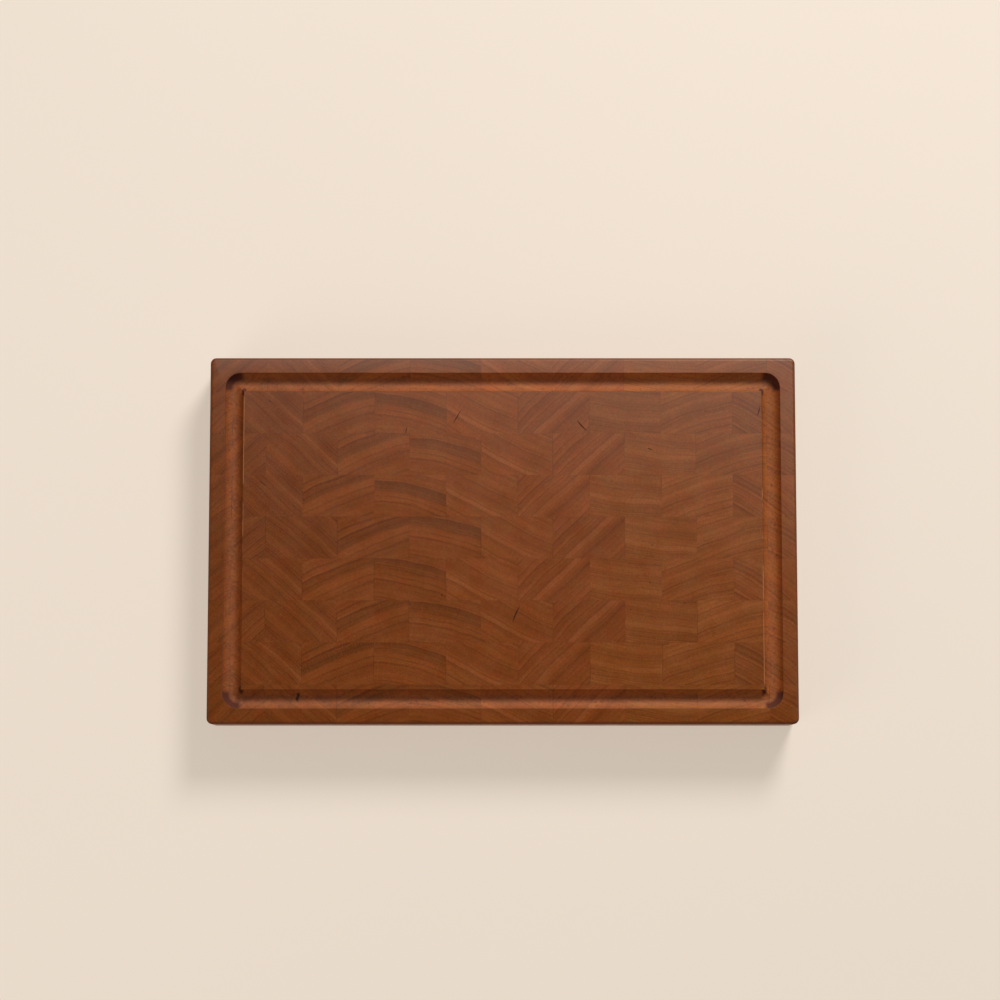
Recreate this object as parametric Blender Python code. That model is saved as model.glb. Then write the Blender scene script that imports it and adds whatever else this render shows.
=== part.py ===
"""An end-grain cutting board with a juice groove, glued up from staggered rows of hardwood blocks.

The board lies flat with its groove up: +X along its length, +Y across it, +Z through its thickness,
and its origin is under its middle, on the surface it rests on. Units are metres.

The real glue-up starts as long staves side by side. They are crosscut into slices, and the slices are
stood on end and glued again with every other one shifted by half a block, so each row is the same run
of end-grain blocks. A node is one block, except at the ends of a row, where the trimmed offcut and the
block beside it are one solid, and in the two edge rows, where more neighbours are joined.
"""

from math import cos, pi, radians, sin

import bmesh
import bpy

# The finished board
LENGTH = 0.4064
WIDTH = 0.254
THICKNESS = 0.038
CORNER_RADIUS = 0.004
EDGE_ROUND = 0.0022

# The juice groove, cut with a round-nosed bit that overlaps the surface
BIT_RADIUS = 0.00635
GROOVE_DEPTH = 0.006
GROOVE_INSET = 0.0171
GROOVE_TURN_RADIUS = 0.004

# The blocks: their pitch along a row, the pitch of the rows, and what trimming left of the end ones
BLOCK_PITCH = 0.0496
ROW_PITCH = 0.029
ROWS = 9
BLOCKS_IN_ROW = 9
FRONT_ROW_DEPTH = 0.0269
FIRST_BLOCK_EVEN = 0.0394
FIRST_BLOCK_ODD = 0.0153
GLUE_GAP = 0.0003

# Blocks of a row that are one solid, counted from 1 at the -X end
MIDDLE_ROW_SOLIDS = ((1, 2), (3, 3), (4, 4), (5, 5), (6, 6), (7, 7), (8, 9))
EDGE_ROW_SOLIDS = ((1, 2), (3, 4), (5, 5), (6, 7), (8, 9))

# How finely the round shapes are faceted
CORNER_SEGMENTS = 5
EDGE_SEGMENTS = 3
GROOVE_SEGMENTS = 12
TURN_SEGMENTS = 5
SHARP_ANGLE = radians(35)

# How far a block's stock stands past the board before it is trimmed
TRIM_ALLOWANCE = 0.005

# The oiled cherry's colour, stave by stave (linear RGB), and its satin finish
STAVE_COLOURS = (
    (0.205, 0.083, 0.042),
    (0.245, 0.107, 0.056),
    (0.225, 0.092, 0.046),
    (0.210, 0.084, 0.041),
    (0.235, 0.099, 0.050),
    (0.215, 0.082, 0.044),
    (0.255, 0.115, 0.058),
    (0.250, 0.110, 0.054),
    (0.220, 0.087, 0.050),
)
OILED_ROUGHNESS = 0.45


def clear_scene():
    for ob in list(bpy.data.objects):
        bpy.data.objects.remove(ob, do_unlink=True)


def new_collection(name):
    collection = bpy.data.collections.new(name)
    bpy.context.scene.collection.children.link(collection)
    return collection


def add_object(name, mesh, collection):
    ob = bpy.data.objects.new(name, mesh)
    collection.objects.link(ob)
    return ob


def hide_cutter(ob):
    ob.hide_render = True
    ob.display_type = "WIRE"


def box_mesh(name, low, high):
    """A box between two corners."""
    mesh = bpy.data.meshes.new(name)
    bm = bmesh.new()
    corners = bmesh.ops.create_cube(bm, size=1.0)["verts"]
    size = [high[axis] - low[axis] for axis in range(3)]
    middle = [(high[axis] + low[axis]) / 2 for axis in range(3)]
    bmesh.ops.scale(bm, vec=size, verts=corners)
    bmesh.ops.translate(bm, vec=middle, verts=corners)
    bm.to_mesh(mesh)
    bm.free()
    return mesh


def board_blank(collection):
    """The whole board before its groove: four rounded corners, then both faces' edges eased."""
    mesh = box_mesh("board_blank", (-LENGTH / 2, -WIDTH / 2, 0), (LENGTH / 2, WIDTH / 2, THICKNESS))
    bm = bmesh.new()
    bm.from_mesh(mesh)
    upright = [e for e in bm.edges if abs(e.verts[0].co.z - e.verts[1].co.z) > THICKNESS / 2]
    bmesh.ops.bevel(
        bm, geom=upright, offset=CORNER_RADIUS, segments=CORNER_SEGMENTS, profile=0.5, affect="EDGES"
    )
    outline = [e for e in bm.edges if abs(e.verts[0].co.z - e.verts[1].co.z) < THICKNESS / 2]
    bmesh.ops.bevel(
        bm, geom=outline, offset=EDGE_ROUND, segments=EDGE_SEGMENTS, profile=0.5, affect="EDGES"
    )
    bm.to_mesh(mesh)
    bm.free()
    mesh.shade_smooth()
    mesh.set_sharp_from_angle(angle=SHARP_ANGLE)
    blank = add_object("board_blank", mesh, collection)
    hide_cutter(blank)
    return blank


def rounded_rectangle(half_x, half_y, radius):
    """Points around a rounded rectangle; at radius 0 each corner's points coincide."""
    points = []
    for quarter, (side_x, side_y) in enumerate(((1, 1), (-1, 1), (-1, -1), (1, -1))):
        for step in range(TURN_SEGMENTS + 1):
            angle = (quarter + step / TURN_SEGMENTS) * pi / 2
            x = side_x * (half_x - radius) + radius * cos(angle)
            y = side_y * (half_y - radius) + radius * sin(angle)
            points.append((x, y))
    return points


def groove_cutter(collection):
    """What the round-nosed bit sweeps: nested outlines lofted across its profile.

    The bit's inner side turns tighter than its own radius, so the groove's inner corners are sharp.
    """
    bit_centre = THICKNESS - GROOVE_DEPTH + BIT_RADIUS
    bm = bmesh.new()
    rings = []
    for step in range(GROOVE_SEGMENTS + 1):
        angle = (step / GROOVE_SEGMENTS - 0.5) * pi
        offset = BIT_RADIUS * sin(angle)
        outline = rounded_rectangle(
            LENGTH / 2 - GROOVE_INSET + offset,
            WIDTH / 2 - GROOVE_INSET + offset,
            max(0, GROOVE_TURN_RADIUS + offset),
        )
        z = bit_centre - BIT_RADIUS * cos(angle)
        rings.append([bm.verts.new((x, y, z)) for x, y in outline])
    count = len(rings[0])
    for ring, following in zip(rings, rings[1:] + rings[:1]):
        for i in range(count):
            j = (i + 1) % count
            bm.faces.new((ring[i], ring[j], following[j], following[i]))
    bmesh.ops.remove_doubles(bm, verts=bm.verts, dist=0.00001)
    bmesh.ops.recalc_face_normals(bm, faces=bm.faces)
    mesh = bpy.data.meshes.new("groove_cutter")
    bm.to_mesh(mesh)
    bm.free()
    mesh.shade_smooth()
    mesh.set_sharp_from_angle(angle=SHARP_ANGLE)
    cutter = add_object("groove_cutter", mesh, collection)
    hide_cutter(cutter)
    return cutter


def add_boolean(ob, operation, operand):
    modifier = ob.modifiers.new(operation.lower(), "BOOLEAN")
    modifier.operation = operation
    modifier.object = operand


def row_seams():
    """The rows' edges from +Y to -Y; trimming left less of the first and the last row."""
    back_row_depth = WIDTH - FRONT_ROW_DEPTH - (ROWS - 2) * ROW_PITCH
    seams = [WIDTH / 2]
    for row in range(ROWS - 1):
        seams.append(WIDTH / 2 - back_row_depth - row * ROW_PITCH)
    seams.append(-WIDTH / 2)
    return seams


def block_seams(row):
    """The blocks' edges along a row from -X to +X; every other row is shifted."""
    first = FIRST_BLOCK_EVEN if row % 2 == 0 else FIRST_BLOCK_ODD
    seams = [-LENGTH / 2]
    for block in range(BLOCKS_IN_ROW - 1):
        seams.append(-LENGTH / 2 + first + block * BLOCK_PITCH)
    seams.append(LENGTH / 2)
    return seams


def shrunk_or_proud(low, high, limit):
    """A block's span with half a glue gap at each seam, and stock past the board at its outer edges."""
    low_end = low - TRIM_ALLOWANCE if low <= -limit else low + GLUE_GAP / 2
    high_end = high + TRIM_ALLOWANCE if high >= limit else high - GLUE_GAP / 2
    return low_end, high_end


def stave_material(name, stave):
    material = bpy.data.materials.new(name)
    material.use_nodes = True
    shader = material.node_tree.nodes["Principled BSDF"]
    shader.inputs["Base Color"].default_value = (*STAVE_COLOURS[stave], 1)
    shader.inputs["Roughness"].default_value = OILED_ROUGHNESS
    shader.inputs["Metallic"].default_value = 0
    material.diffuse_color = (*STAVE_COLOURS[stave], 1)
    return material


def block_name(row, first, last):
    if first == last:
        return f"row_{row + 1}_block_{first}"
    return f"row_{row + 1}_blocks_{first}_{last}"


def add_block(row, first, last, blank, collection):
    """One solid of a row: stock as wide as its blocks, trimmed to the grooved board."""
    rows = row_seams()
    seams = block_seams(row)
    x_low, x_high = shrunk_or_proud(seams[first - 1], seams[last], LENGTH / 2)
    y_low, y_high = shrunk_or_proud(rows[row + 1], rows[row], WIDTH / 2)
    low = (x_low, y_low, -TRIM_ALLOWANCE)
    high = (x_high, y_high, THICKNESS + TRIM_ALLOWANCE)
    name = block_name(row, first, last)
    ob = add_object(name, box_mesh(name, low, high), collection)
    widest = max(range(first, last + 1), key=lambda block: seams[block] - seams[block - 1])
    ob.data.materials.append(stave_material(name, widest - 1))
    add_boolean(ob, "INTERSECT", blank)


def main():
    clear_scene()
    parts = new_collection("end_grain_cutting_board")
    cutters = new_collection("cutters")
    blank = board_blank(cutters)
    add_boolean(blank, "DIFFERENCE", groove_cutter(cutters))
    for row in range(ROWS):
        solids = EDGE_ROW_SOLIDS if row in (0, ROWS - 1) else MIDDLE_ROW_SOLIDS
        for first, last in solids:
            add_block(row, first, last, blank, parts)


main()
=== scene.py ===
"""The looks of an end-grain cutting board: 81 oiled cherry blocks in staggered rows, with a juice groove.

The board lies flat with its groove up. Lengths in Python are metres. Inside the materials, and in the
tables of cracks and staves, they are millimetres, which suit the grain's scale.
"""

from math import asin, cos, pi, radians, sin, sqrt
from random import Random

import bmesh
import bpy
from mathutils import Matrix, Vector


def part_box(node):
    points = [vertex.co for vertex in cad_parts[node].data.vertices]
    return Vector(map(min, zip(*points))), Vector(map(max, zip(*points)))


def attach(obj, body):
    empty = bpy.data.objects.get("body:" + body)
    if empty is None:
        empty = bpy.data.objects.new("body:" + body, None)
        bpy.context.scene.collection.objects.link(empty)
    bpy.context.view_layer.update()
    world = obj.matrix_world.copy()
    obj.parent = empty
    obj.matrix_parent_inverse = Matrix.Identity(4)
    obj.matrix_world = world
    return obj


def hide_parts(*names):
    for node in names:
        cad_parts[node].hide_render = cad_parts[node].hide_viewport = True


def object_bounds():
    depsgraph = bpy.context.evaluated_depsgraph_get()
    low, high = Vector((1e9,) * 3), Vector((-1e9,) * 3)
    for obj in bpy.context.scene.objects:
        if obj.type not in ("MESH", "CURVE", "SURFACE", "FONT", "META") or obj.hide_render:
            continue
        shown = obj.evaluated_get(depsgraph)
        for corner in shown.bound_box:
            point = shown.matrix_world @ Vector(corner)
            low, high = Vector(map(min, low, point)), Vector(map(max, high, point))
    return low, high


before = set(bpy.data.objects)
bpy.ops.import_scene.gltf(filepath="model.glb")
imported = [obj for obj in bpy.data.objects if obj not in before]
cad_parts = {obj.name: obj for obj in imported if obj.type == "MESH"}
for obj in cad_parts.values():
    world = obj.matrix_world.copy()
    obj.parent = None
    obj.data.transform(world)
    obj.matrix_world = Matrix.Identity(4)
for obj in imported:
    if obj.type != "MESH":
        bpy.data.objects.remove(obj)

MM = 0.001
cad_low, cad_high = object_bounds()
LENGTH = cad_high.x - cad_low.x
WIDTH = cad_high.y - cad_low.y
THICKNESS = cad_high.z - cad_low.z

# The board's edges and the juice groove, as part.py has them. The groove's rims are eased here as well,
# by an arc that stops short of the level, where the cutter would only graze the face.
CORNER_RADIUS = 4 * MM
EDGE_ROUND = 2.2 * MM
BIT_RADIUS = 6.35 * MM
GROOVE_DEPTH = 6 * MM
GROOVE_INSET = 17.1 * MM
GROOVE_TURN_RADIUS = 4 * MM
RIM_ROUND = 0.35 * MM
RIM_STOP = radians(80)

CORNER_SEGMENTS = 12
EDGE_SEGMENTS = 8
GROOVE_SEGMENTS = 36
RIM_SEGMENTS = 4
TURN_SEGMENTS = 16
SHARP_ANGLE = radians(40)
WELD_DISTANCE = 0.002 * MM

ROWS = 9
BLOCKS_IN_ROW = 9
# A block that is a CAD node of its own in every row, so the seams are read from it
LONE_BLOCK = 5
SAW_KERF = 3.2 * MM
# How far cutters and a block's stock stand out past the board
STOCK_MARGIN = 5 * MM


# ---------------------------------------------------------------- layout, read from the CAD nodes

def node_of(row, block):
    """The CAD node that holds a block, from the numbers in the nodes' names."""
    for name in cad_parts:
        numbers = [int(word) for word in name.split("_") if word.isdigit()]
        if numbers[0] == row and numbers[1] <= block <= numbers[-1]:
            return name
    raise LookupError(f"no CAD node holds block {block} of row {row}")


def pitches():
    """The width of a glue gap, and the pitch of the blocks and of the rows."""
    low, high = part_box("row_2_block_3")
    next_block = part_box("row_2_block_4")[0].x
    next_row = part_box("row_3_block_3")[0].y
    return next_block - high.x, next_block - low.x, low.y - next_row


GLUE_GAP, BLOCK_PITCH, ROW_PITCH = pitches()


def seam_before(row, block):
    """The x of the middle of the glue line on a block's -X side."""
    lone_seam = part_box(f"row_{row}_block_{LONE_BLOCK}")[0].x - GLUE_GAP / 2
    return lone_seam + (block - LONE_BLOCK) * BLOCK_PITCH


def row_span(row):
    """A row's lowest and highest y: the middle of a glue line, or past the board at its outline."""
    low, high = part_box(f"row_{row}_block_{LONE_BLOCK}")
    y_low = low.y - (STOCK_MARGIN if row == ROWS else GLUE_GAP / 2)
    y_high = high.y + (STOCK_MARGIN if row == 1 else GLUE_GAP / 2)
    return y_low, y_high


def block_span(row, block):
    """A block's lowest and highest x: the middle of a glue line, or past the board at its outline."""
    seam = seam_before(row, block)
    x_low = cad_low.x - STOCK_MARGIN if block == 1 else seam
    x_high = cad_high.x + STOCK_MARGIN if block == BLOCKS_IN_ROW else seam + BLOCK_PITCH
    return x_low, x_high


def stock_centre(row, block):
    """The middle of a block before the board's outline was trimmed."""
    y_low, y_high = row_span(row)
    y = y_low + ROW_PITCH / 2 if row < ROWS else y_high - ROW_PITCH / 2
    return seam_before(row, block) + BLOCK_PITCH / 2, y


# ---------------------------------------------------------------- the board's shape

def add_object(name, data):
    ob = bpy.data.objects.new(name, data)
    bpy.context.scene.collection.objects.link(ob)
    return ob


def finished(name, bm):
    """An object with the bmesh as its mesh."""
    mesh = bpy.data.meshes.new(name)
    bm.to_mesh(mesh)
    bm.free()
    return add_object(name, mesh)


def box(low, high):
    bm = bmesh.new()
    corners = bmesh.ops.create_cube(bm, size=1.0)["verts"]
    bmesh.ops.scale(bm, vec=[high[i] - low[i] for i in range(3)], verts=corners)
    bmesh.ops.translate(bm, vec=[(high[i] + low[i]) / 2 for i in range(3)], verts=corners)
    return bm


def cut(ob, operation, *operands):
    """Puts the result of a boolean with each operand in place of the object's mesh."""
    for operand in operands:
        modifier = ob.modifiers.new(operand.name, "BOOLEAN")
        modifier.operation = operation
        modifier.object = operand
    depsgraph = bpy.context.evaluated_depsgraph_get()
    mesh = bpy.data.meshes.new_from_object(ob.evaluated_get(depsgraph), depsgraph=depsgraph)
    ob.modifiers.clear()
    ob.data = mesh


def round_edges(bm, edges, radius, segments):
    bmesh.ops.bevel(bm, geom=edges, offset=radius, segments=segments, profile=0.5, affect="EDGES")


def is_upright(edge):
    return abs(edge.verts[0].co.z - edge.verts[1].co.z) > THICKNESS / 2


def board_blank():
    """The board before its groove: four rounded corners, then the edges of both faces eased."""
    bm = box(cad_low, cad_high)
    round_edges(bm, [e for e in bm.edges if is_upright(e)], CORNER_RADIUS, CORNER_SEGMENTS)
    round_edges(bm, [e for e in bm.edges if not is_upright(e)], EDGE_ROUND, EDGE_SEGMENTS)
    return finished("board_blank", bm)


def groove_profile():
    """(Offset from the centreline, z) from the middle of the groove's floor out past its rim."""
    bit_height = BIT_RADIUS - GROOVE_DEPTH
    rim_x = sqrt((BIT_RADIUS + RIM_ROUND) ** 2 - (bit_height + RIM_ROUND) ** 2)
    wall_top = asin(rim_x / (BIT_RADIUS + RIM_ROUND))
    points = []
    for step in range(GROOVE_SEGMENTS // 2 + 1):
        angle = wall_top * step / (GROOVE_SEGMENTS // 2)
        points.append((BIT_RADIUS * sin(angle), cad_high.z + bit_height - BIT_RADIUS * cos(angle)))
    start = pi / 2 - wall_top
    for step in range(1, RIM_SEGMENTS + 1):
        angle = start + (RIM_STOP - start) * step / RIM_SEGMENTS
        points.append((rim_x - RIM_ROUND * cos(angle), cad_high.z - RIM_ROUND * (1 - sin(angle))))
    points.append((points[-1][0], cad_high.z + STOCK_MARGIN))
    return points


def rounded_rectangle(half_x, half_y, radius):
    """Points around a rounded rectangle; at radius 0 each corner's points coincide."""
    points = []
    for quarter, (side_x, side_y) in enumerate(((1, 1), (-1, 1), (-1, -1), (1, -1))):
        for step in range(TURN_SEGMENTS + 1):
            angle = (quarter + step / TURN_SEGMENTS) * pi / 2
            x = side_x * (half_x - radius) + radius * cos(angle)
            y = side_y * (half_y - radius) + radius * sin(angle)
            points.append((x, y))
    return points


def groove_cutter():
    """What the round-nosed bit sweeps; its inner side turns in no radius, so those corners are sharp."""
    half = groove_profile()
    profile = [(-offset, z) for offset, z in reversed(half[1:])] + half
    bm = bmesh.new()
    rings = []
    for offset, z in profile:
        outline = rounded_rectangle(
            LENGTH / 2 - GROOVE_INSET + offset,
            WIDTH / 2 - GROOVE_INSET + offset,
            max(0, GROOVE_TURN_RADIUS + offset),
        )
        rings.append([bm.verts.new((x, y, z)) for x, y in outline])
    count = len(rings[0])
    for ring, following in zip(rings, rings[1:] + rings[:1]):
        for i in range(count):
            j = (i + 1) % count
            bm.faces.new((ring[i], ring[j], following[j], following[i]))
    bmesh.ops.remove_doubles(bm, verts=bm.verts, dist=WELD_DISTANCE)
    bmesh.ops.recalc_face_normals(bm, faces=bm.faces)
    return finished("groove_cutter", bm)


# Gum cracks in the face: (x, y) of both ends and the width, in millimetres from the board's middle
CRACKS = (
    ((-28.5, 91.0), (-35.0, 80.0), 0.65),
    ((-66.5, 78.5), (-67.5, 73.5), 0.65),
    ((51.0, 83.5), (58.5, 75.0), 0.95),
    ((100.0, 63.5), (104.0, 62.5), 0.70),
    ((179.0, 94.0), (176.5, 85.5), 0.70),
    ((12.0, -44.5), (6.0, -58.5), 1.05),
    ((-169.0, 41.5), (-163.0, 36.5), 0.55),
)
CRACK_DEPTH = 1.2
CRACK_STATIONS = 10
# The sides of a crack's section, between its left, right and keel
CRACK_SIDES = ((0, 1), (1, 2), (2, 0))
# A crack's width grows from its tips as this power of a sine, and it wavers by a share of its width
CRACK_SWELL = 0.8
CRACK_WAVER = 0.12
CRACK_WAVES = 9

GUM_PITS = (
    (-161.5, 96.5), (140.5, 89.5), (103.0, -4.0), (88.0, -48.5),
    (125.5, -44.0), (101.5, -30.0), (-125.5, -50.0), (-42.0, -38.5),
)
PIT_RADIUS = 0.75
PIT_SIDES = 10
# How far the cutters of cracks and pits stand above the face
CUT_ABOVE = 0.4


def add_crack(bm, start, end, width):
    """A keel-shaped cut that swells and wavers between two points on the face (millimetres)."""
    start, end = Vector((*start, 0)), Vector((*end, 0))
    along = end - start
    across = Vector((-along.y, along.x, 0)).normalized()
    top = THICKNESS / MM + CUT_ABOVE
    tips = [bm.verts.new((point + Vector((0, 0, top))) * MM) for point in (start, end)]
    stations = []
    for i in range(1, CRACK_STATIONS):
        share = i / CRACK_STATIONS
        swell = sin(pi * share) ** CRACK_SWELL
        waver = CRACK_WAVER * width * sin(CRACK_WAVES * share + start.x)
        middle = start + along * share + across * waver
        left = middle + across * swell * width / 2
        right = middle - across * swell * width / 2
        keel = middle + Vector((0, 0, top - CUT_ABOVE - CRACK_DEPTH * swell))
        left.z = right.z = top
        stations.append([bm.verts.new(point * MM) for point in (left, right, keel)])
    for a, b in zip(stations, stations[1:]):
        for i, j in CRACK_SIDES:
            bm.faces.new((a[i], a[j], b[j], b[i]))
    for tip, station in ((tips[0], stations[0]), (tips[1], stations[-1])):
        for i, j in CRACK_SIDES:
            bm.faces.new((tip, station[i], station[j]))


def gum_cutter():
    """Every crack and pit in the face as one mesh of separate cutters."""
    bm = bmesh.new()
    for start, end, width in CRACKS:
        add_crack(bm, start, end, width)
    depth = PIT_RADIUS + CUT_ABOVE
    for x, y in GUM_PITS:
        middle = Vector((x, y, THICKNESS / MM + CUT_ABOVE - depth / 2)) * MM
        bmesh.ops.create_cone(
            bm, cap_ends=True, segments=PIT_SIDES, radius1=0, radius2=PIT_RADIUS * MM,
            depth=depth * MM, matrix=Matrix.Translation(middle)
        )
    bmesh.ops.recalc_face_normals(bm, faces=bm.faces)
    return finished("gum_cutter", bm)


# ---------------------------------------------------------------- node trees

class Tree:
    """Adds nodes to a material. An input may be a socket, a number or a tuple."""

    def __init__(self, name):
        self.material = bpy.data.materials.new(name)
        self.material.use_nodes = True
        self.nodes = self.material.node_tree.nodes
        self.links = self.material.node_tree.links
        self.shader = self.nodes["Principled BSDF"]

    def feed(self, socket, value):
        if isinstance(value, bpy.types.NodeSocket):
            self.links.new(value, socket)
        elif value is not None:
            socket.default_value = value

    def add(self, kind, output, inputs, **settings):
        """A node of this kind with its settings and inputs; the output of that name or number."""
        node = self.nodes.new(kind)
        for name, value in settings.items():
            setattr(node, name, value)
        for name, value in inputs.items():
            self.feed(node.inputs[name], value)
        return node.outputs[output]

    # Numbers

    def maths(self, operation, *values):
        return self.add("ShaderNodeMath", 0, dict(enumerate(values)), operation=operation)

    def plus(self, a, b):
        return self.maths("ADD", a, b)

    def minus(self, a, b):
        return self.maths("SUBTRACT", a, b)

    def times(self, first, *others):
        for value in others:
            first = self.maths("MULTIPLY", first, value)
        return first

    def most(self, first, *others):
        for value in others:
            first = self.maths("MAXIMUM", first, value)
        return first

    def clamped(self, value):
        return self.maths("MAXIMUM", self.maths("MINIMUM", value, 1.0), 0.0)

    def rise(self, value, start, end, low=0.0, high=1.0):
        """A smooth step, which is low up to start and high from end."""
        inputs = {"Value": value, "From Min": start, "From Max": end, "To Min": low, "To Max": high}
        return self.add("ShaderNodeMapRange", 0, inputs, interpolation_type="SMOOTHSTEP")

    def fall(self, value, start, end, high=1.0):
        return self.rise(value, start, end, high, 0.0)

    # Vectors

    def vector(self, operation, a, b=None, scale=None):
        output = "Value" if operation in ("LENGTH", "DISTANCE", "DOT_PRODUCT") else "Vector"
        inputs = {0: a, 1: b}
        if scale is not None:
            inputs["Scale"] = scale
        return self.add("ShaderNodeVectorMath", output, inputs, operation=operation)

    def scaled(self, vector, scale):
        return self.vector("SCALE", vector, scale=scale)

    def stretched(self, vector, *factors):
        return self.vector("MULTIPLY", vector, factors)

    def separate(self, vector):
        node = self.nodes.new("ShaderNodeSeparateXYZ")
        self.feed(node.inputs[0], vector)
        return node.outputs

    def combine(self, x, y, z):
        return self.add("ShaderNodeCombineXYZ", 0, {0: x, 1: y, 2: z})

    def from_segment(self, place, start, end):
        """The distance in plan from a line between two (x, y) points."""
        start, end = Vector((*start, 0)), Vector((*end, 0))
        along = end - start
        out = self.stretched(self.vector("SUBTRACT", place, tuple(start)), 1, 1, 0)
        share = self.clamped(self.vector("DOT_PRODUCT", out, tuple(along / along.length_squared)))
        return self.vector("DISTANCE", out, self.scaled(tuple(along), share))

    # Noise, from 0 to 1

    def noise(self, vector, scale, detail):
        inputs = {"Vector": vector, "Scale": scale, "Detail": detail}
        return self.add("ShaderNodeTexNoise", 0, inputs)

    def wobble(self, vector, scale, reach):
        """A random vector that changes smoothly from place to place; each part is within half the reach."""
        inputs = {"Vector": vector, "Scale": scale, "Detail": 2.0}
        noise = self.add("ShaderNodeTexNoise", "Color", inputs)
        return self.scaled(self.vector("SUBTRACT", noise, (0.5, 0.5, 0.5)), reach)

    def noise_along(self, value, scale, detail=1.0):
        inputs = {"W": value, "Scale": scale, "Detail": detail}
        return self.add("ShaderNodeTexNoise", 0, inputs, noise_dimensions="1D")

    def chance(self, value):
        """A random number for each whole number."""
        return self.add("ShaderNodeTexWhiteNoise", 0, {"W": value}, noise_dimensions="1D")

    # Colours

    def mix(self, factor, a, b, blend="MIX"):
        """Colour a where the factor is 0, and b where it is 1. The node's inputs 6 and 7 are colours."""
        inputs = {"Factor": factor, 6: a, 7: b}
        return self.add("ShaderNodeMix", 2, inputs, data_type="RGBA", blend_type=blend)

    def tinted(self, colour, tint):
        return self.mix(1.0, colour, tint, "MULTIPLY")

    def varied(self, colour, factor, low_tint, high_tint):
        """The colour, from its low tint where the factor is 0 to its high tint where it is 1."""
        return self.tinted(colour, self.mix(factor, low_tint, high_tint))


# ---------------------------------------------------------------- the wood

# Linear colours of oiled cherry
EARLYWOOD = (0.248, 0.0640, 0.0110, 1)
LATEWOOD = (0.134, 0.0300, 0.0030, 1)
RING_LINE = (0.070, 0.0155, 0.0026, 1)
PALE_STREAK = (0.330, 0.1000, 0.0290, 1)
OLIVE_BAND = (0.100, 0.0310, 0.0050, 1)
SCORCH = (0.066, 0.0085, 0.0030, 1)
GLUE_LINE = (0.070, 0.018, 0.004, 1)
# A painted highlight: the pale line where the end runs' inner rims catch the light
RIM_HIGHLIGHT = (0.48, 0.215, 0.088, 1)
GUM = (0.020, 0.008, 0.005, 1)

# Tints: how each place's wood differs from the plain colour
FLECK_TINTS = (0.66, 0.66, 0.66, 1), (1.34, 1.34, 1.34, 1)
MOTTLE_TINTS = (0.84, 0.82, 0.80, 1), (1.16, 1.17, 1.18, 1)
HUE_TINTS = (1.08, 0.86, 0.78, 1), (0.92, 1.16, 1.24, 1)
MILLED_TINT = (1.48, 1.50, 1.30, 1)
# Painted light: the end runs are tinted warmer and less blue to offset the grey sheen they catch
END_RUN_SHEEN_OFFSET_TINT = (1.0, 0.92, 0.40, 1)
SIDE_TINT = (1.08, 1.08, 1.06, 1)

# How far the pith drifts along a stave (mm), and how unevenly its rings are spaced (in ring widths)
PITH_DRIFT = 12.0
RING_UNEVENNESS = 2.2

# Of the bump: its strength, and its height where the relief is 1
RELIEF_STRENGTH = 0.35
RELIEF_HEIGHT = 0.04 * MM

# How far in from the board's outline the groove's rims are (mm)
OUTER_RIM = (GROOVE_INSET - BIT_RADIUS) / MM
INNER_RIM = (GROOVE_INSET + BIT_RADIUS) / MM
# How the painted rim highlight grows with x times y, so it is more at the front right and the back left
RIM_HIGHLIGHT_LEAN = -0.000012
# Where a spot of gum crosses the groove: (x, y) of both ends (mm)
GUM_SPOT = ((-140.5, -106.5), (-141.5, -110.0))


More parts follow.
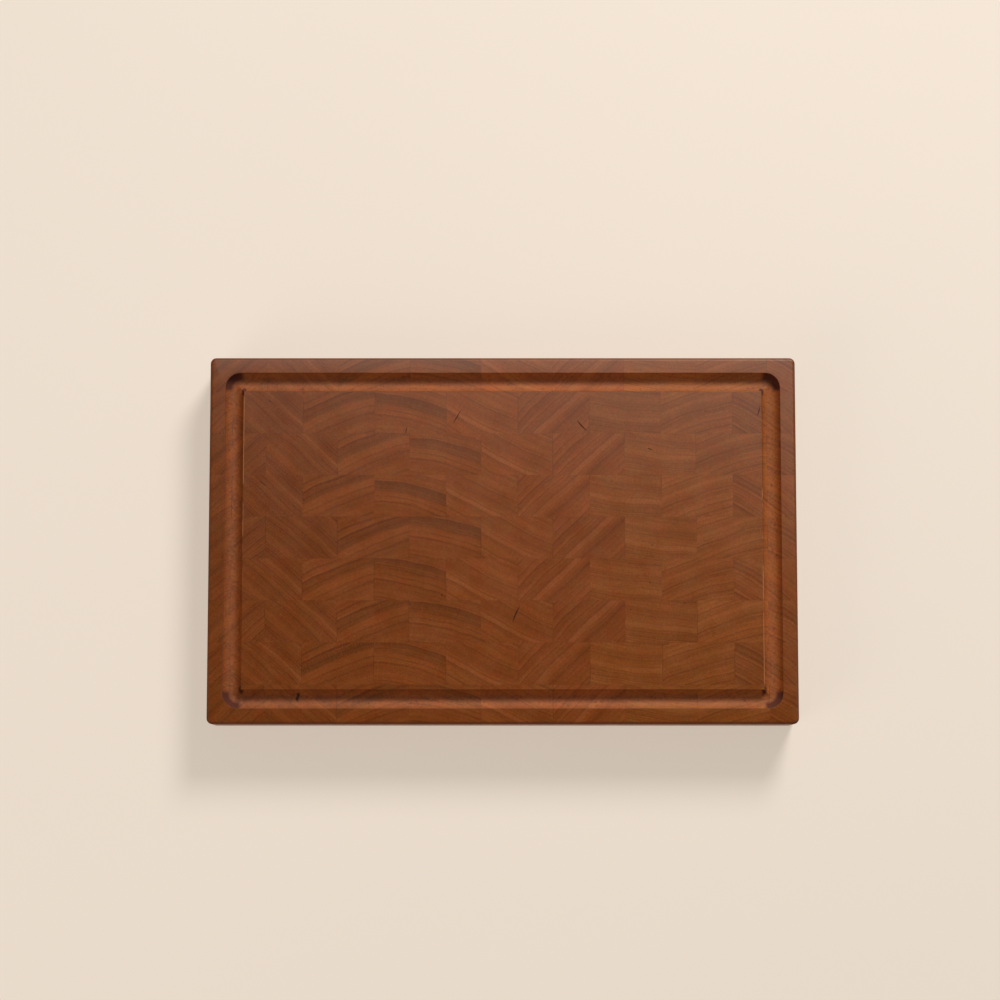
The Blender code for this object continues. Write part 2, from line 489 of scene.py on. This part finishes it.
class Wood(Tree):
    """End grain: rings around the pith, rays away from it and pores along Z, in each block's own stock.

    Each method adds one thing. They run in the order of oiled_cherry, and later ones use what earlier
    ones found. Places are in millimetres and noise scales are per millimetre.
    """

    def __init__(self, name):
        super().__init__(name)
        self.place = self.scaled(self.add("ShaderNodeTexCoord", "Object", {}), 1 / MM)
        self.stock = self.vector("SUBTRACT", self.place, self.of_block("stock"))
        self.seed = self.of_block("seed", "Fac")
        shift = self.combine(self.times(self.seed, 137.0), self.seed, 0)
        self.seeded = self.vector("ADD", self.stock, shift)
        self.wander = self.stretched(self.seeded, 1, 1, 0.30)

        # How far a point is in from the outline, above the underside and below the upper face
        across_x, across_y, self.height = self.separate(self.vector("ABSOLUTE", self.place))
        self.inset_x = self.minus(LENGTH / 2 / MM, across_x)
        self.inset_y = self.minus(WIDTH / 2 / MM, across_y)
        self.inset = self.maths("MINIMUM", self.inset_x, self.inset_y)
        self.depth = self.minus(THICKNESS / MM, self.height)
        self.above_floor = self.fall(self.depth, GROOVE_DEPTH / MM + 0.4, GROOVE_DEPTH / MM + 1.0)

    def of_block(self, name, output="Vector"):
        """A value kept on the block's object."""
        return self.add("ShaderNodeAttribute", output, {}, attribute_type="OBJECT", attribute_name=name)

    def own_stretch(self, value, stride):
        """The value moved on by an arbitrary stride a stave, so each reads its own stretch of a noise."""
        return self.plus(value, self.times(self.seed, stride))

    def paint(self, factor, colour, amount=1.0):
        """Covers this much of the wood with the colour where the factor is 1."""
        self.colour = self.mix(self.times(factor, amount), self.colour, colour)

    def paint_tint(self, factor, tint):
        self.paint(factor, self.tinted(self.colour, tint))

    def find_rings(self):
        """Counts the distance from the pith, which wanders a little, in ring widths."""
        bent = self.vector("ADD", self.stock, self.wobble(self.wander, scale=0.030, reach=5.0))
        bent = self.vector("ADD", bent, self.wobble(self.wander, scale=0.16, reach=0.45))
        pith = self.of_block("pith")
        from_pith = self.stretched(self.vector("SUBTRACT", bent, pith), 1, 1, 0)
        _, _, self.z = self.separate(self.stock)
        drift = self.noise_along(self.own_stretch(self.times(self.z, 0.009), 17.0), scale=1.0)
        radius = self.vector("LENGTH", from_pith)
        self.radius = self.plus(radius, self.times(self.minus(drift, 0.5), PITH_DRIFT))
        x, y, _ = self.separate(from_pith)
        self.around = self.times(self.maths("ARCTAN2", y, x), self.vector("LENGTH", pith))

        rings = self.maths("DIVIDE", self.radius, self.of_block("ring_width", "Fac"))
        uneven = self.noise_along(self.own_stretch(rings, 31.0), scale=0.45)
        rings = self.plus(rings, self.times(uneven, RING_UNEVENNESS))

        # Within a ring the wood darkens outwards, and a thin line ends it; some rings are stronger
        within = self.maths("FRACT", rings)
        strength = self.chance(self.own_stretch(self.maths("FLOOR", rings), 53.0))
        late = self.times(self.rise(within, 0.25, 0.93), self.fall(within, 0.955, 1.0))
        self.late = self.times(late, self.rise(strength, 0.0, 1.0, low=0.25))
        line = self.times(self.rise(within, 0.70, 0.90), self.fall(within, 0.94, 0.99))
        self.line = self.times(line, self.rise(strength, 0.25, 0.95, low=0.10))

    def paint_rings(self):
        """Darkens the late wood; fine streaks follow the rings, and broad bands run over several."""
        streaks = self.combine(self.times(self.around, 0.045), self.times(self.radius, 1.3), self.seed)
        fine = self.noise(streaks, scale=1.0, detail=3.0)
        seasons = self.noise_along(self.own_stretch(self.radius, 211.0), scale=0.11, detail=2.0)
        band = self.rise(seasons, 0.36, 0.64)
        share = self.plus(self.times(band, 0.30), self.times(self.late, 0.32))
        share = self.plus(share, self.times(self.minus(fine, 0.42), 1.1))
        self.colour = self.mix(self.clamped(share), EARLYWOOD, LATEWOOD)

    def paint_streak(self):
        """Marks the stave with its streak: pale between two dark lines, or dark."""
        streak_radius, half_width, strength = self.separate(self.of_block("streak"))
        off = self.maths("DIVIDE", self.minus(self.radius, streak_radius), half_width)
        off = self.maths("ABSOLUTE", off)
        streak = self.times(self.fall(off, 0.45, 1.15), strength)
        border = self.times(self.rise(off, 0.85, 1.15), self.fall(off, 1.15, 1.5))
        border = self.times(border, self.most(strength, 0.0))
        self.paint(self.most(self.times(streak, -1.0), 0.0), OLIVE_BAND, amount=0.9)
        self.paint(self.most(streak, 0.0), PALE_STREAK, amount=0.8)
        self.paint(self.most(self.line, border), RING_LINE, amount=0.36)

    def paint_fibres(self):
        """Adds rays that run away from the pith, pores along the fibres, and uneven tone and hue."""
        ray_place = self.combine(self.times(self.around, 2.6), self.times(self.radius, 0.16), self.z)
        rays = self.rise(self.noise(ray_place, scale=1.0, detail=1.0), 0.52, 0.72)
        self.paint(rays, PALE_STREAK, amount=0.15)
        fibres = self.stretched(self.seeded, 1, 1, 0.045)
        self.pores = self.rise(self.noise(fibres, scale=4.2, detail=1.0), 0.56, 0.70)
        self.paint(self.pores, RING_LINE, amount=0.30)
        flecks = self.noise(fibres, scale=0.8, detail=4.0)
        self.mottle = self.noise(self.wander, scale=0.055, detail=3.0)
        hue = self.noise(self.wander, scale=0.10, detail=2.0)
        self.colour = self.varied(self.colour, flecks, *FLECK_TINTS)
        self.colour = self.varied(self.colour, self.mottle, *MOTTLE_TINTS)
        self.colour = self.varied(self.colour, hue, *HUE_TINTS)
        self.colour = self.tinted(self.colour, self.of_block("tint", "Color"))

    def paint_groove(self):
        """Lightens the milled groove, which took less oil than the faces, and tears its grain."""
        past_rim = self.rise(self.inset, OUTER_RIM - 1.75, OUTER_RIM - 0.25)
        self.milled = self.times(past_rim, self.rise(self.depth, 0.1, 0.4), self.above_floor)
        self.paint_tint(self.milled, MILLED_TINT)
        end_run = self.rise(self.minus(self.inset_y, self.inset_x), -1.0, 1.0)
        # Painted light: the end runs lose blue to offset the sheen they catch, not a colour of the wood
        self.paint_tint(self.times(end_run, self.milled), END_RUN_SHEEN_OFFSET_TINT)
        torn = self.noise(self.wander, scale=0.55, detail=3.0)
        self.paint(self.times(self.rise(torn, 0.56, 0.74), self.milled), RING_LINE, amount=0.55)
        self.paint(self.times(self.fall(torn, 0.28, 0.46), self.milled), PALE_STREAK, amount=0.6)

    def paint_outside(self):
        """Paints shade on the eased edges, darker where they turn away from the face, and lightens the long
        grain of the sides.
        """
        _, _, facing = self.separate(self.add("ShaderNodeNewGeometry", "Normal", {}))
        facing = self.maths("ABSOLUTE", facing)
        unmilled = self.minus(1.0, self.milled)
        rounding = EDGE_ROUND / MM
        near_top = self.fall(self.depth, rounding, rounding + 0.4)
        near_bottom = self.fall(self.height, rounding, rounding + 0.4)
        at_edge = self.most(near_top, near_bottom)
        self.side = self.times(self.fall(facing, 0.25, 0.70), unmilled, self.minus(1.0, at_edge))
        self.eased = self.times(self.fall(facing, 0.86, 0.99), unmilled, at_edge)
        # Painted shade: the eased edges are darkened as if they caught less light
        self.paint(self.eased, LATEWOOD, amount=0.6)
        self.paint_tint(self.side, SIDE_TINT)

    def paint_seams(self):
        """Draws the glue lines, a hair wide and uneven."""
        from_middle = self.vector("ABSOLUTE", self.vector("SUBTRACT", self.place, self.of_block("middle")))
        to_seam = self.vector("SUBTRACT", self.of_block("half_size"), from_middle)
        to_seam_x, to_seam_y, _ = self.separate(to_seam)
        seam = self.most(self.fall(to_seam_x, 0.08, 0.30), self.fall(to_seam_y, 0.04, 0.18, high=0.5))
        patchy = self.noise(self.place, scale=0.05, detail=2.0)
        self.seam = self.times(seam, self.rise(patchy, 0.40, 0.64, low=0.05, high=0.62))
        self.paint(self.seam, GLUE_LINE)

    def paint_burns(self):
        """Scorches the groove where the bit dwelt: the outer wall of its turns, and its inner corners."""
        turn = GROOVE_TURN_RADIUS / MM
        wall = turn + BIT_RADIUS / MM
        past_x = self.minus(GROOVE_INSET / MM + turn, self.inset_x)
        past_y = self.minus(GROOVE_INSET / MM + turn, self.inset_y)
        past = self.rise(self.maths("MINIMUM", past_x, past_y), -3.2, 0.4)
        from_turn = self.vector("LENGTH", self.combine(past_x, past_y, 0))
        outer_side = self.rise(from_turn, turn + 0.5, turn + 3.5)
        to_wall = self.fall(from_turn, wall + 0.25, wall + 0.55)
        below_face = self.rise(self.depth, 0.1, 0.5)
        turn_burn = self.times(past, outer_side, to_wall, below_face, self.above_floor)

        self.inner_x = self.minus(INNER_RIM, self.inset_x)
        self.inner_y = self.minus(INNER_RIM, self.inset_y)
        from_corner = self.vector("LENGTH", self.combine(self.inner_x, self.times(self.inner_y, 0.6), 0))
        corner_burn = self.times(self.fall(from_corner, 1.0, 2.4), self.milled)
        self.burn = self.most(turn_burn, corner_burn)
        self.paint(self.burn, SCORCH, amount=0.88)

    def paint_rim_highlight(self):
        """Paints a pale highlight along the inner rims of the end runs, more towards the front right and
        the back left.
        """
        plain_x, plain_y, _ = self.separate(self.place)
        lean = self.times(plain_x, plain_y, RIM_HIGHLIGHT_LEAN)
        patchy = self.noise(self.stretched(self.place, 1, 1, 0), scale=0.05, detail=3.0)
        patchy = self.plus(patchy, lean)
        on_rim = self.fall(self.maths("ABSOLUTE", self.inner_x), 0.2, 0.7)
        highlight = self.times(self.rise(patchy, 0.48, 0.60), on_rim, self.fall(self.depth, 0.8, 1.6))
        highlight = self.times(highlight, self.fall(self.inner_y, -5.0, -2.0))
        # Painted highlight: a pale line where the inner rim catches the light, not wear
        self.paint(highlight, RIM_HIGHLIGHT, amount=0.7)

    def paint_gum(self):
        """Lines the cracks and pits in the face with dark gum, and lays one spot of it in the groove."""
        in_face = self.rise(self.inset, INNER_RIM + 0.05, INNER_RIM + 0.25)
        sunk = self.times(self.rise(self.depth, 0.02, 0.12), self.fall(self.depth, 2.9, 3.0), in_face)
        spot = self.fall(self.from_segment(self.place, *GUM_SPOT), 0.6, 1.5, high=0.9)
        self.gum = self.most(sunk, self.times(spot, self.above_floor))
        self.paint(self.gum, GUM, amount=0.92)

    def finish_surface(self):
        """Gives the wood its satin sheen, dull where it is cut, burnt or gummed, and its fine relief."""
        self.feed(self.shader.inputs["Base Color"], self.colour)
        rough = self.plus(self.times(self.pores, 0.10), self.rise(self.mottle, 0.3, 0.7, 0.19, 0.24))
        dull = self.most(self.times(self.milled, 0.7), self.eased, self.gum, self.burn)
        rough = self.plus(rough, self.times(dull, 0.76))
        rough = self.plus(rough, self.times(self.side, 0.28))
        self.feed(self.shader.inputs["Roughness"], rough)
        relief = self.minus(self.times(self.late, 0.15), self.times(self.pores, 0.4))
        relief = self.minus(relief, self.times(self.seam, 0.6))
        bump = {"Height": relief, "Strength": RELIEF_STRENGTH, "Distance": RELIEF_HEIGHT}
        self.feed(self.shader.inputs["Normal"], self.add("ShaderNodeBump", 0, bump))


def oiled_cherry():
    wood = Wood("oiled_cherry")
    wood.find_rings()
    wood.paint_rings()
    wood.paint_streak()
    wood.paint_fibres()
    wood.paint_groove()
    wood.paint_outside()
    wood.paint_seams()
    wood.paint_burns()
    wood.paint_rim_highlight()
    wood.paint_gum()
    wood.finish_surface()
    return wood.material


# Each stave along a row: the pith's bearing (degrees from +X) and distance (mm) from the block's middle,
# the ring width (mm), the tint, and a streak's offset outwards from the middle, half width (mm) and
# strength, where a positive streak is pale and a negative one dark.
STAVES = (
    (-47, 200, 2.2, (0.81, 0.80, 0.81), (6.0, 1.6, -0.60)),
    (-131, 330, 2.3, (0.83, 0.82, 0.82), (9.5, 1.1, 0.50)),
    (-68, 190, 4.6, (0.94, 0.93, 0.91), (5.5, 3.4, -0.46)),
    (-103, 160, 3.2, (0.96, 0.95, 0.93), (7.0, 3.8, -0.56)),
    (63, 260, 4.2, (1.01, 1.00, 0.99), (7.5, 1.8, 0.40)),
    (-46, 330, 3.9, (0.99, 0.96, 0.99), (-1.0, 2.2, 0.50)),
    (83, 280, 2.3, (1.005, 1.065, 1.015), (4.0, 2.0, 0.3)),
    (-72, 190, 2.6, (1.05, 1.11, 1.05), (6.0, 2.0, 0.2)),
    (-126, 115, 3.4, (0.98, 1.01, 1.02), (-2.0, 2.2, -0.15)),
)
# How far a block's tone may be from its stave's, and how much of the stave's streak it shows
TONE_SPREAD = 0.05
STREAK_LEAST, STREAK_MOST = 0.45, 1.15


def set_grain(ob, row, block, span_x, span_y):
    """Puts on the block what its wood depends on, in millimetres."""
    bearing, distance, ring_width, tint, (streak, half_width, strength) = STAVES[block - 1]
    x, y = stock_centre(row, block)
    slice_height = row * (THICKNESS + SAW_KERF)
    ob["stock"] = (x / MM, y / MM, -slice_height / MM)
    ob["pith"] = (distance * cos(radians(bearing)), distance * sin(radians(bearing)), 0.0)
    ob["ring_width"] = ring_width
    ob["seed"] = float(block)
    random = Random(f"{row} {block}")
    tone = 1 + random.uniform(-TONE_SPREAD, TONE_SPREAD)
    shown = random.uniform(STREAK_LEAST, STREAK_MOST)
    ob["streak"] = (distance + streak, half_width, strength * shown)
    ob["tint"] = tuple(value * tone for value in tint)
    ob["middle"] = (sum(span_x) / 2 / MM, sum(span_y) / 2 / MM, 0.0)
    ob["half_size"] = ((span_x[1] - span_x[0]) / 2 / MM, (span_y[1] - span_y[0]) / 2 / MM, 0.0)


# ---------------------------------------------------------------- the blocks


def make_block(row, block, blank, wood):
    """One block: its stock, trimmed to the grooved board."""
    span_x, span_y = block_span(row, block), row_span(row)
    low = (span_x[0], span_y[0], cad_low.z - STOCK_MARGIN)
    high = (span_x[1], span_y[1], cad_high.z + STOCK_MARGIN)
    name = f"end_grain_row_{row}_block_{block}"
    ob = finished(name, box(low, high))
    cut(ob, "INTERSECT", blank)
    ob.data.name = name
    ob.data.shade_smooth()
    ob.data.set_sharp_from_angle(angle=SHARP_ANGLE)
    ob.data.materials.clear()
    ob.data.materials.append(wood)
    set_grain(ob, row, block, span_x, span_y)
    node = node_of(row, block)
    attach(ob, "root")
    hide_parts(node)


def make_board():
    wood = oiled_cherry()
    blank = board_blank()
    cutters = (groove_cutter(), gum_cutter())
    cut(blank, "DIFFERENCE", *cutters)
    for row in range(1, ROWS + 1):
        for block in range(1, BLOCKS_IN_ROW + 1):
            make_block(row, block, blank, wood)
    for ob in (blank, *cutters):
        bpy.data.objects.remove(ob)


# ---------------------------------------------------------------- floor, light and camera

STUDIO_COLOUR = (1.0, 0.95, 0.88, 1)
STUDIO_STRENGTH = 0.21
FLOOR_HALF_SIZE = 30
FLOOR_SHADES = (0.36, 0.33, 0.30, 1), (0.38, 0.35, 0.32, 1)
FLOOR_ROUGHNESS = 0.9
FLOOR_GLOW = (1.0, 0.86, 0.72, 1)
FLOOR_GLOW_STRENGTH = 0.50

# The camera's place over the board's face, its tilt from straight down, and its lens (mm)
CAMERA_X, CAMERA_Y, CAMERA_HEIGHT = -0.0019, -0.1829, 1.8605
CAMERA_TILT = radians(6.45)
LENS = 97.5
SENSOR_WIDTH = 36


def make_floor():
    """A plain floor that glows a little, like a light table, so the board's shadow stays pale."""
    t = Tree("pale_floor")
    cloud = t.noise(t.add("ShaderNodeTexCoord", "Object", {}), scale=3.0, detail=4.0)
    t.feed(t.shader.inputs["Base Color"], t.mix(cloud, *FLOOR_SHADES))
    t.shader.inputs["Roughness"].default_value = FLOOR_ROUGHNESS
    t.shader.inputs["Emission Color"].default_value = FLOOR_GLOW
    t.shader.inputs["Emission Strength"].default_value = FLOOR_GLOW_STRENGTH
    bm = bmesh.new()
    bmesh.ops.create_grid(bm, x_segments=1, y_segments=1, size=FLOOR_HALF_SIZE)
    floor = finished("floor", bm)
    floor.location.z = cad_low.z
    floor.data.materials.append(t.material)


def add_area_light(name, location, target, size, power, colour):
    light = bpy.data.lights.new(name, "AREA")
    light.shape = "DISK"
    light.size = size
    light.energy = power
    light.color = colour
    ob = add_object(name, light)
    ob.location = location
    ob.rotation_euler = (Vector(target) - Vector(location)).to_track_quat("-Z", "Y").to_euler()
    ob.visible_camera = False
    return ob


def make_light():
    """A soft key beyond the board's back edge, a weak fill, and a panel that the oil mirrors."""
    add_area_light("key", (0.95, 2.12, 1.82), (0, 0, 0), size=1.0, power=82, colour=(1.0, 0.96, 0.90))
    fill = add_area_light(
        "fill", (-1.30, -0.95, 0.80), (0, 0, 0), size=1.2, power=9, colour=(1.0, 0.92, 0.82)
    )
    fill.visible_glossy = False
    panel = add_area_light(
        "panel", (0.22, 1.06, 1.94), (0.22, 1.06, 0), size=2.0, power=14.5, colour=(1.0, 0.97, 0.93)
    )
    panel.visible_diffuse = False
    panel.data.shape = "RECTANGLE"
    panel.data.size_y = 1.4
    panel.rotation_euler.z = radians(-11)
    world = bpy.data.worlds.new("studio")
    bpy.context.scene.world = world
    world.use_nodes = True
    world.cycles_visibility.glossy = False
    background = world.node_tree.nodes["Background"]
    background.inputs["Color"].default_value = STUDIO_COLOUR
    background.inputs["Strength"].default_value = STUDIO_STRENGTH


def make_camera():
    """Looks down on the board's face, a little from its front edge, through a long lens."""
    data = bpy.data.cameras.new("camera")
    data.sensor_width = SENSOR_WIDTH
    data.lens = LENS
    camera = add_object("camera", data)
    camera.location = (CAMERA_X, CAMERA_Y, cad_high.z + CAMERA_HEIGHT)
    camera.rotation_euler = (CAMERA_TILT, 0, 0)
    bpy.context.scene.camera = camera


make_camera()
make_floor()
make_light()
make_board()
bpy.context.scene.view_settings.view_transform = "Standard"
